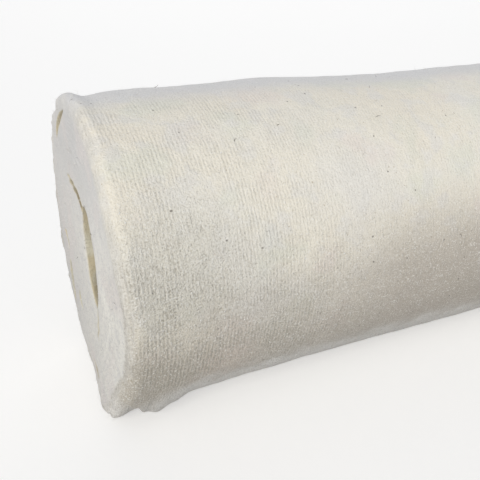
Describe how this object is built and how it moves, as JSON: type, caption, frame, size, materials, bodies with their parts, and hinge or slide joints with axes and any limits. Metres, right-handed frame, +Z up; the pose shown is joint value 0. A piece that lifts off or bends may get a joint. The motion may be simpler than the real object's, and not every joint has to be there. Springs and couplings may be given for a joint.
{
  "type": "roll of stitch-bonded fabric",
  "caption": "Soft cotton stitch-bonded cloth wound into a roll round an open eye, resting on a flat spot, with the loose end of its outer turn along the lower front.",
  "frame": {"origin": "centre of the whole object's box, on the surface that it rests on", "axes": "+X along the roll's axis away from the end that shows, -Y to the front where the loose end lies, +Z up"},
  "size_m": [0.8102, 0.2312, 0.2241],
  "materials": {
    "stitched_cloth": "undyed cotton felt with fine rows of chain stitch, matt",
    "loose_cloth": "the same undyed cotton cloth where its cut end lies loose, matt"
  },
  "bodies": {
    "root": {"roll": "stitched_cloth", "loose_end": "loose_cloth"}
  },
  "joints": []
}
